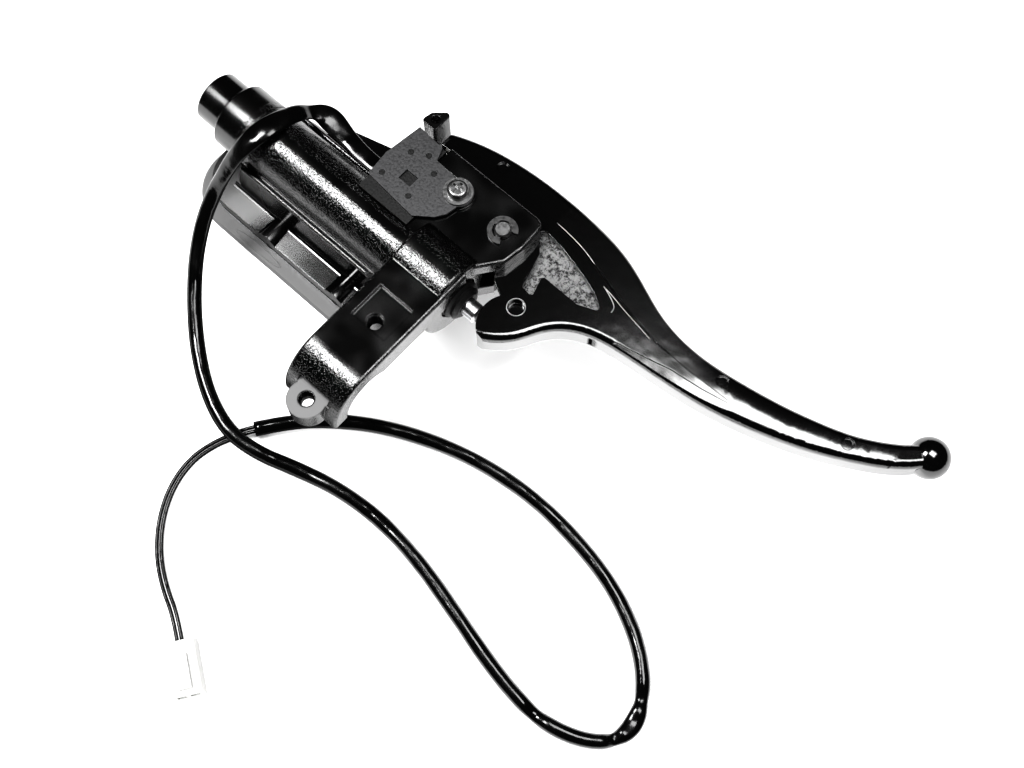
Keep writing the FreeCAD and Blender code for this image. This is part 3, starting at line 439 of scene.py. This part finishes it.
# The skin is even on flat faces, on the turned outlet boss and below the deck
flat_face = ramp(nodes, links, facing_up(nodes, links), 0.985, 0.995, 0.0, 1.0)
outlet_boss = within(nodes, links, (-115, 30, -12), (-88, 62, 18))
below_deck = within(nodes, links, (-115, 0, -30), (-3, 90, -2))
even_skin = combined(nodes, links, "MAXIMUM", outlet_boss, below_deck)
even_skin = combined(nodes, links, "MAXIMUM", even_skin, flat_face)
skin_height = mixed(nodes, links, even_skin, cast_skin.outputs["Fac"], 0.5)
furrow_height = mixed(nodes, links, even_skin, furrows, 1.0)
corners = rounded_edges(nodes, 0.0006)
swollen = raised(nodes, links, cast_swell.outputs["Fac"], 0.00008, shader, corners)
skinned = raised(nodes, links, skin_height, 0.00009, shader, swollen)
raised(nodes, links, furrow_height, 0.000035, shader, skinned)
spot_face = within(nodes, links, (-8, -26, 8.6), (8, -12, 9.3))
two_tone(nodes, links, spot_face, gloss_black, (0.09, 0.09, 0.09), shader)
ledge_place = nodes.new("ShaderNodeTexCoord")
ledge_axes = nodes.new("ShaderNodeSeparateXYZ")
links.new(ledge_place.outputs["Object"], ledge_axes.inputs["Vector"])
ledge_gloss = ramp(nodes, links, ledge_axes.outputs["X"], -0.095, -0.045, 0.36, 0.11)
open_gloss = ramp(nodes, links, cast_swell.outputs["Fac"], 0.35, 0.65, 0.12, 0.22)
gloss = mixed(nodes, links, below_deck, open_gloss, ledge_gloss)
links.new(mixed(nodes, links, spot_face, gloss, 0.5), shader.inputs["Roughness"])
dressed("body_casting", casting_paint)


def strip(name, rows):
    """A sheet of faces between rows of places in millimetres, each row one line along the strip."""
    mesh = bpy.data.meshes.new(name)
    work = bmesh.new()
    grid = [[work.verts.new([value / 1000 for value in place]) for place in row] for row in rows]
    for low, high in zip(grid, grid[1:]):
        for index in range(len(low) - 1):
            work.faces.new((low[index], low[index + 1], high[index + 1], high[index]))
    work.to_mesh(mesh)
    work.free()
    mesh.shade_smooth()
    piece = bpy.data.objects.new(name, mesh)
    bpy.context.scene.collection.objects.link(piece)
    return piece


# The paint has filled the inner corner where the reservoir's wall stands on its ledge
wall_y = 33.0
foot_z = -25.7
foot_fill_r = 1.7
foot_bite = 0.05
foot_steps = 8
foot_rows = []
for step in range(foot_steps + 1):
    angle = math.radians(90 * step / foot_steps)
    y = wall_y + foot_bite - foot_fill_r * (1 - math.sin(angle))
    z = foot_z - foot_bite + foot_fill_r * (1 - math.cos(angle))
    foot_rows.append([(x, y, z) for x in (-94.0, -75.0, -55.0, -35.0, -15.5)])
wall_foot = strip("wall_foot_paint", foot_rows)
wall_foot.data.materials.append(casting_paint)
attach(wall_foot, "body")


def turned_rings(name, profile, place, axis, sides=40):
    """A closed surface turned about a line through place; profile is (along, radius) in millimetres."""
    mesh = bpy.data.meshes.new(name)
    work = bmesh.new()
    heading = Vector(axis)
    side = Vector((0, 1, 0)) if heading.x else Vector((1, 0, 0))
    other = heading.cross(side)
    rings = []
    for reach, radius in profile:
        ring = []
        for step in range(sides):
            angle = 2 * math.pi * step / sides
            out = side * (math.cos(angle) * radius) + other * (math.sin(angle) * radius)
            ring.append(work.verts.new((Vector(place) + heading * reach + out) / 1000))
        rings.append(ring)
    for first, second in zip(rings, rings[1:] + rings[:1]):
        for step in range(sides):
            after = (step + 1) % sides
            work.faces.new((first[step], first[after], second[after], second[step]))
    bmesh.ops.recalc_face_normals(work, faces=work.faces)
    work.to_mesh(mesh)
    work.free()
    mesh.shade_smooth()
    piece = bpy.data.objects.new(name, mesh)
    bpy.context.scene.collection.objects.link(piece)
    return piece


# Threads in the two holes that take the clamp's bolts
thread_turns = 7
thread_root_r = 3.04
thread_crest_r = 2.45
thread_back_r = 3.045
for name, y, top in (("front_bolt_thread", -17, 8.6), ("rear_bolt_thread", 17, 14.6)):
    thread = []
    for turn in range(thread_turns):
        thread += [(-turn, thread_root_r), (-turn - 0.5, thread_crest_r)]
    thread += [(-thread_turns, thread_root_r), (-thread_turns, thread_back_r), (0.0, thread_back_r)]
    piece = turned_rings(name, thread, (0, y, top), (0, 0, 1))
    piece.data.set_sharp_from_angle(angle=math.radians(25))
    piece.data.materials.append(casting_paint)
    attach(piece, "body")

# Reservoir lid, its four screws and the diaphragm under it
# The lid is a pressed aluminium plate, held by cross-head screws. Its outer face is pale satin. Faces that
# look up and sideways, its inner face and its edges, are dark grey; along the edges this is painted shade,
# the lid's outline where it lies on the floor. On it lie a thin steel plate and a dished rubber diaphragm.

lid_tone = (0.86, 0.86, 0.87)
lid_satin, nodes, links, shader = finish("lid_satin", lid_tone, 0.42, metallic=0.2)
# Painted shade: faces that look up and sideways get the dark grey below, which outlines the lid's edges.
lid_up_and_side_faces_shade = nodes.new("ShaderNodeMath")
lid_up_and_side_faces_shade.operation = "COMPARE"
lid_up_and_side_faces_shade.inputs[1].default_value = 0.5
lid_up_and_side_faces_shade.inputs[2].default_value = 0.6
links.new(facing_up(nodes, links), lid_up_and_side_faces_shade.inputs[0])
two_tone(nodes, links, lid_up_and_side_faces_shade.outputs["Value"], lid_tone, (0.14, 0.14, 0.14), shader)
lid_marks = grain(nodes, links, 0.0009, stretch=(1, 5, 1))
raised(nodes, links, lid_marks.outputs["Fac"], 0.00002, shader)
spread(nodes, links, lid_marks.outputs["Fac"], shader.inputs["Roughness"], 0.33, 0.5)
dressed("reservoir_lid", lid_satin)

# A long oval is pressed up at the side of the lid
oval_steps = 48
oval_middle = Vector((-71.3, 20.7, -33.0))
oval_half_length = 11.8
oval_half_width = 1.5
oval_places = []
for step in range(oval_steps):
    angle = 2 * math.pi * step / oval_steps
    out = Vector((oval_half_length * math.cos(angle), oval_half_width * math.sin(angle), 0))
    oval_places.append((oval_middle + out) / 1000)
oval_places.append(oval_places[0])
lid_oval = tube_mesh("lid_pressed_oval", oval_places, lambda distance: (0.00016, 0.00016, 0), sides=8)
lid_oval.data.materials.append(lid_satin)
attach(lid_oval, "body")

zinc, nodes, links, shader = finish("bright_zinc", (0.62, 0.62, 0.62), 0.25, metallic=1.0)
zinc_marks = grain(nodes, links, 0.0007)
raised(nodes, links, zinc_marks.outputs["Fac"], 0.00003, shader)
spread(nodes, links, zinc_marks.outputs["Fac"], shader.inputs["Roughness"], 0.18, 0.36)
for name in ("lid_screws", "diaphragm_plate"):
    dressed(name, zinc)

rubber, nodes, links, shader = finish("black_rubber", (0.006, 0.006, 0.006), 0.62)
rubber_skin = grain(nodes, links, 0.0008)
raised(nodes, links, rubber_skin.outputs["Fac"], 0.00004, shader)
spread(nodes, links, rubber_skin.outputs["Fac"], shader.inputs["Roughness"], 0.55, 0.72)
for name in ("diaphragm", "primary_cup", "secondary_cup"):
    dressed(name, rubber)
boot_profile = [
    (6.6, 8.4), (9.8, 8.4), (10.2, 8.2), (10.8, 7.3), (11.4, 7.5), (12.0, 7.9), (12.4, 7.6), (13.0, 6.4),
    (13.5, 6.5), (14.1, 6.8), (14.6, 6.4), (15.2, 5.3), (15.5, 5.15), (15.5, 3.55), (14.4, 3.55),
    (13.7, 5.5), (12.8, 5.2), (11.9, 6.6), (10.6, 6.0), (9.4, 7.1), (6.6, 7.1),
]
boot = turned_rings("boot_bellows", boot_profile, (0, 46, 3), (1, 0, 0), sides=56)
boot.data.set_sharp_from_angle(angle=math.radians(50))
boot.data.materials.append(rubber)
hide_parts("dust_boot")
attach(boot, "body")
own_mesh(boot)

# Piston, its spring and the rings that keep it in
# The piston is turned from aluminium bar. The spring, stop washer and circlip are dark steel.

turned, nodes, links, shader = finish("turned_aluminium", (0.62, 0.62, 0.63), 0.28, metallic=1.0)
turning = grain(nodes, links, 0.0004, stretch=(6, 1, 1))
raised(nodes, links, turning.outputs["Fac"], 0.00002, shader)
spread(nodes, links, turning.outputs["Fac"], shader.inputs["Roughness"], 0.2, 0.36)
dressed("piston", turned)

oiled_steel, nodes, links, shader = finish("oiled_steel", (0.11, 0.11, 0.11), 0.38, metallic=1.0)
steel_marks = grain(nodes, links, 0.0009)
raised(nodes, links, steel_marks.outputs["Fac"], 0.00003, shader)
spread(nodes, links, steel_marks.outputs["Fac"], shader.inputs["Roughness"], 0.28, 0.48)
for name in ("stop_washer", "circlip", "e_clip"):
    dressed(name, oiled_steel)
spring_turns = 6
spring_sides = 30
spring_start_x = -61.3
spring_run = 20.1
spring_coil_r = 4.7
spring_steps = spring_turns * spring_sides
spring_places = []
for step in range(spring_steps + 1):
    angle = 2 * math.pi * step / spring_sides
    x = spring_start_x + spring_run * step / spring_steps
    y = 46 + spring_coil_r * math.cos(angle)
    z = 3 + spring_coil_r * math.sin(angle)
    spring_places.append(Vector((x, y, z)) / 1000)
spring_coils = tube_mesh("spring_coils", spring_places, lambda distance: (0.0006, 0.0006, 0), sides=10)
spring_coils.data.materials.append(oiled_steel)
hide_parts("return_spring")
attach(spring_coils, "body")
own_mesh(spring_coils)

# Lever
# A cast aluminium blade with a ball end and a cam nose that pushes the piston. It is ground smooth and
# painted gloss black.

# The middle of the blade, in mm; its top falls away to both sides of this line, more towards the ball
blade_middle = [(60, 73.5), (85, 77.0), (105, 79.5), (125, 84.0), (145, 92.0), (165, 105.0)]
crown_start = 84.0
crown_full = 116.0
crown_fall = 0.016
crown_cuts_x = range(50, 168, 3)
crown_cuts_y = range(62, 112, 2)


def blade_middle_at(x):
    """The middle's y at x, and its slope there."""
    for (x1, y1), (x2, y2) in zip(blade_middle, blade_middle[1:]):
        if x <= x2 or x2 == blade_middle[-1][0]:
            slope = (y2 - y1) / (x2 - x1)
            return y1 + (x - x1) * slope, slope


def crowned(mesh):
    """Cut the flat top into narrow strips, then lower it towards both edges of the blade."""
    work = bmesh.new()
    work.from_mesh(mesh)
    for x in crown_cuts_x:
        everything = work.verts[:] + work.edges[:] + work.faces[:]
        bmesh.ops.bisect_plane(work, geom=everything, plane_co=(x / 1000, 0, 0), plane_no=(1, 0, 0))
    for y in crown_cuts_y:
        everything = work.verts[:] + work.edges[:] + work.faces[:]
        bmesh.ops.bisect_plane(work, geom=everything, plane_co=(0, y / 1000, 0), plane_no=(0, 1, 0))
    for vertex in work.verts:
        x, y, z = vertex.co * 1000
        share = min(max((x - crown_start) / (crown_full - crown_start), 0), 1)
        share = share * share * (3 - 2 * share) * min(max((z - 2.0) / 5.0, 0), 1)
        middle, slope = blade_middle_at(x)
        away = (y - middle) / math.hypot(1, slope)
        if share > 0 and x < 160:
            vertex.co.z -= crown_fall * share * min(away * away, 90) / 1000
    work.to_mesh(mesh)
    work.free()
    mesh.shade_smooth()
    mesh.set_sharp_from_angle(angle=math.radians(32))


lever_paint, nodes, links, shader = finish("lever_paint", gloss_black, 0.12, ior=2.0)
lever_swell = grain(nodes, links, 0.006, detail=1.0)
corners = rounded_edges(nodes, 0.0005)
smooth_blade = raised(nodes, links, lever_swell.outputs["Fac"], 0.00005, shader, corners)
near_hub = within(nodes, links, (15.0, 60.0, 5.5), (34.0, 84.5, 8.4))
towards_ball = within(nodes, links, (34.0, 68.0, 5.5), (53.5, 84.5, 8.4))
in_recess = combined(nodes, links, "MAXIMUM", near_hub, towards_ball)
pitted = grain(nodes, links, 0.0009, detail=6.0)
pitted.inputs["Roughness"].default_value = 0.75
pits = combined(nodes, links, "MULTIPLY", pitted.outputs["Fac"], in_recess)
raised(nodes, links, pits, 0.0007, shader, smooth_blade)
bare = grain(nodes, links, 0.0018, detail=8.0)
bare.inputs["Roughness"].default_value = 0.8
bare_share = ramp(nodes, links, bare.outputs["Fac"], 0.44, 0.55, 0.0, 1.0)
worn = combined(nodes, links, "MULTIPLY", bare_share, in_recess)
two_tone(nodes, links, worn, gloss_black, (0.40, 0.40, 0.40), shader)
spread(nodes, links, worn, shader.inputs["Metallic"], 0.0, 0.7, 0.0, 1.0)
spread(nodes, links, worn, shader.inputs["Roughness"], 0.11, 0.55, 0.0, 1.0)
blade_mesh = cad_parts["lever"].data.copy()
blade_mesh.materials.clear()
blade_mesh.materials.append(lever_paint)
crowned(blade_mesh)
blade = bpy.data.objects.new("lever_blade", blade_mesh)
bpy.context.scene.collection.objects.link(blade)
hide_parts("lever")
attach(blade, "lever")

# A light grey metal ring on the drilled hole's edge: a painted highlight where the edge catches the light
rim_profile = [(9.25, 3.05), (9.35, 3.2), (9.3, 3.4), (9.05, 3.5), (8.6, 3.5), (8.6, 3.05)]
hole_rim = turned_rings("drilled_hole_rim", rim_profile, (30.1, 55.0, 0), (0, 0, 1), sides=48)
# Light grey rough metal: a painted highlight, used on the hole's ring and on the seam beads below.
painted_highlight_metal, nodes, links, shader = finish("painted_highlight_metal", (0.45, 0.45, 0.45), 0.42, metallic=1.0)
rim_marks = grain(nodes, links, 0.0008)
raised(nodes, links, rim_marks.outputs["Fac"], 0.00004, shader)
spread(nodes, links, rim_marks.outputs["Fac"], shader.inputs["Roughness"], 0.36, 0.5)
hole_rim.data.materials.append(painted_highlight_metal)
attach(hole_rim, "lever")

# The seams where the casting's two halves met still show as fine raised lines on the blade, drawn in light
# grey metal as painted highlights
seams = [
    [(19.2, 88.7), (26.7, 88.2), (34.5, 87.0), (44.3, 84.0), (55.0, 80.9), (64.2, 78.9), (74.7, 77.3)],
    [(47.3, 81.2), (50.0, 80.3), (52.9, 79.1), (54.9, 78.0), (55.6, 76.8), (55.7, 75.4)],
    [(48.6, 81.0), (52.3, 80.4), (55.9, 79.6), (60.5, 78.7), (65.0, 78.0), (72.2, 76.8)],
]
shape_of_blade = BVHTree.FromPolygons(
    [vertex.co for vertex in blade_mesh.vertices], [face.vertices for face in blade_mesh.polygons],
)
for index, seam in enumerate(seams):
    places = []
    for place in line_places(laid_line("seam line", [(x, y, 0.0) for x, y in seam])):
        hit = shape_of_blade.ray_cast(Vector((place.x, place.y, 0.03)), Vector((0, 0, -1)))[0]
        places.append(hit - Vector((0, 0, 0.0001)))
    bead = tube_mesh(f"blade_seam_{index + 1}", places, lambda distance: (0.00021, 0.00021, 0), sides=10)
    # Painted highlight: each seam bead is light grey metal.
    bead.data.materials.append(painted_highlight_metal)
    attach(bead, "lever")

# Pivot pin and bush
# A headed steel pin turns in a bush in the lever's hub, and an E-clip holds its end.

pin_steel, nodes, links, shader = finish("pin_steel", (0.20, 0.20, 0.20), 0.4, metallic=1.0)
pin_marks = grain(nodes, links, 0.0011)
raised(nodes, links, pin_marks.outputs["Fac"], 0.00006, shader)
spread(nodes, links, pin_marks.outputs["Fac"], shader.inputs["Roughness"], 0.32, 0.48)
dressed("pivot_pin", pin_steel)
brass, nodes, links, shader = finish("bush_brass", (0.70, 0.53, 0.27), 0.32, metallic=1.0)
brass_marks = grain(nodes, links, 0.0008)
raised(nodes, links, brass_marks.outputs["Fac"], 0.00002, shader)
spread(nodes, links, brass_marks.outputs["Fac"], shader.inputs["Roughness"], 0.26, 0.42)
dressed("pivot_bush", brass)

# Brake light switch
# A black moulded box under a stamped steel cover, which one screw holds down with its washer. A pale
# plunger comes out towards the lever's tail.

switch_black, nodes, links, shader = finish("switch_black", (0.004, 0.004, 0.004), 0.4)
switch_skin = grain(nodes, links, 0.0007)
raised(nodes, links, switch_skin.outputs["Fac"], 0.00005, shader)
spread(nodes, links, switch_skin.outputs["Fac"], shader.inputs["Roughness"], 0.34, 0.5)
dressed("switch_housing", switch_black)

stamped, nodes, links, shader = finish("stamped_steel", (0.105, 0.105, 0.107), 0.42, metallic=1.0)
stamped_marks = grain(nodes, links, 0.0009)
raised(nodes, links, stamped_marks.outputs["Fac"], 0.00004, shader)
spread(nodes, links, stamped_marks.outputs["Fac"], shader.inputs["Roughness"], 0.36, 0.52)
dressed("switch_plate", stamped)
screw_steel, nodes, links, shader = finish("screw_steel", (0.24, 0.24, 0.24), 0.34, metallic=1.0)
screw_marks = grain(nodes, links, 0.0010)
raised(nodes, links, screw_marks.outputs["Fac"], 0.00002, shader)
spread(nodes, links, screw_marks.outputs["Fac"], shader.inputs["Roughness"], 0.28, 0.42)
for name in ("switch_screw", "switch_washer"):
    dressed(name, screw_steel)

plunger_white, nodes, links, shader = finish("plunger_white", (0.78, 0.78, 0.74), 0.38)
plunger_skin = grain(nodes, links, 0.0008)
spread(nodes, links, plunger_skin.outputs["Fac"], shader.inputs["Roughness"], 0.32, 0.46)
dressed("switch_plunger", plunger_white)

# Floor and light
# White paper under two large soft boxes: one behind and to the left, whose reflection runs down the
# barrel, and one overhead on the right, which the outer half of the lever shows. A third fills the
# near side. In the paint's reflections the paper is brighter by the lever, darker by the reservoir.

paper, nodes, links, shader = finish("white_paper", (0.88, 0.88, 0.88), 0.9)
shader.inputs["Specular IOR Level"].default_value = 0.1
shader.inputs["Emission Color"].default_value = (1, 1, 1, 1)


def near(nodes, links, middle, inner, outer):
    """1 close to a place on the paper, falling to 0 between two distances in metres."""
    place = nodes.new("ShaderNodeTexCoord")
    away = nodes.new("ShaderNodeVectorMath")
    away.operation = "DISTANCE"
    away.inputs[1].default_value = middle
    links.new(place.outputs["Object"], away.inputs[0])
    return ramp(nodes, links, away.outputs["Value"], inner, outer, 1.0, 0.0)


rays = nodes.new("ShaderNodeLightPath")
mirrored = rays.outputs["Is Glossy Ray"]
by_lever = near(nodes, links, (0.10, 0.03, 0), 0.07, 0.12)
glare = mixed(nodes, links, by_lever, 0.1, 1.2)
links.new(mixed(nodes, links, mirrored, 0.1, glare), shader.inputs["Emission Strength"])
by_reservoir = near(nodes, links, (-0.045, -0.012, 0), 0.045, 0.085)
shaded = combined(nodes, links, "MULTIPLY", by_reservoir, mirrored)
two_tone(nodes, links, shaded, (0.88, 0.88, 0.88), (0.05, 0.05, 0.05), shader)
floor_level = -0.0361
floor_mesh = bpy.data.meshes.new("floor")
work = bmesh.new()
bmesh.ops.create_grid(work, x_segments=1, y_segments=1, size=3)
work.to_mesh(floor_mesh)
work.free()
floor_mesh.materials.append(paper)
floor = bpy.data.objects.new("floor", floor_mesh)
bpy.context.scene.collection.objects.link(floor)
floor.location = (0, 0, floor_level)


def soft_box(name, place, aim, long_way, length, width, glow):
    """A rectangular lamp that faces aim; glow is its brightness, the same at any size."""
    lamp = bpy.data.lights.new(name, "AREA")
    lamp.shape = "RECTANGLE"
    lamp.size = length
    lamp.size_y = width
    lamp.energy = glow * math.pi * length * width
    holder = bpy.data.objects.new(name, lamp)
    bpy.context.scene.collection.objects.link(holder)
    back = (Vector(place) - Vector(aim)).normalized()
    across = back.cross(Vector(long_way)).normalized()
    turn = Matrix((across.cross(back), across, back)).transposed()
    holder.matrix_world = Matrix.Translation(place) @ turn.to_4x4()
    return holder


soft_box("left_box", (-0.48, -0.21, 1.05), (-0.03, 0.04, 0), (0.0, 0.99, 0.14), 0.40, 0.30, 25)
fill_box = soft_box("fill_box", (0.05, -1.1, 0.75), (-0.03, 0.02, -0.03), (1, 0, 0), 0.9, 0.6, 9)
fill_box.visible_glossy = False
soft_box("right_box", (0.16, 0.21, 1.0), (0.12, 0.12, 0), (1, 0, 0), 0.55, 0.40, 9)

world = bpy.data.worlds.new("studio")
bpy.context.scene.world = world
world.use_nodes = True
surround = world.node_tree.nodes["Background"]
surround.inputs["Color"].default_value = (1, 1, 1, 1)
rays = world.node_tree.nodes.new("ShaderNodeLightPath")
dimming = world.node_tree
dim_in_gloss = ramp(dimming.nodes, dimming.links, rays.outputs["Is Glossy Ray"], 0.0, 1.0, 0.42, 0.015)
dimming.links.new(dim_in_gloss, surround.inputs["Strength"])
bpy.context.scene.view_settings.view_transform = "Standard"
bpy.context.scene.view_settings.look = "High Contrast"
